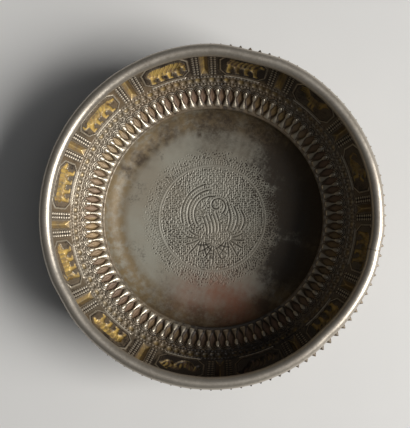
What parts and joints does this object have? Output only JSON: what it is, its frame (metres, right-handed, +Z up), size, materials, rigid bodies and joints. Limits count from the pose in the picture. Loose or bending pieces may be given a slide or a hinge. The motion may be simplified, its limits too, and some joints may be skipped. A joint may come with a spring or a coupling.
{
  "type": "offering bowl",
  "caption": "Shallow round silver offering bowl with a thick rolled rim, a relief wall of beast panels, beads and lotus petals, and a flat base dish.",
  "frame": {"origin": "on the table under the middle of the bowl, at the underside of the base dish", "axes": "+Z up along the bowl's axis, +X and +Y level, with +Y towards the top of the picture"},
  "size_m": [0.1536, 0.1536, 0.043],
  "materials": {
    "relief_silver": "tarnished hand-worked silver, dark in the hollows with yellow toning, paler on the ridges",
    "floor_silver": "dull grey-brown tarnished silver with a chased medallion",
    "rim_silver": "hand-worn silver, polished smooth, with fine scratches",
    "solder": "dull grey silver solder"
  },
  "bodies": {
    "root": {"wall_band": "relief_silver", "base_dish": "floor_silver", "rim_wire": "rim_silver", "rim_butt_solder": "solder", "rim_solder_seam": "solder", "base_solder_seam": "solder"}
  },
  "joints": []
}
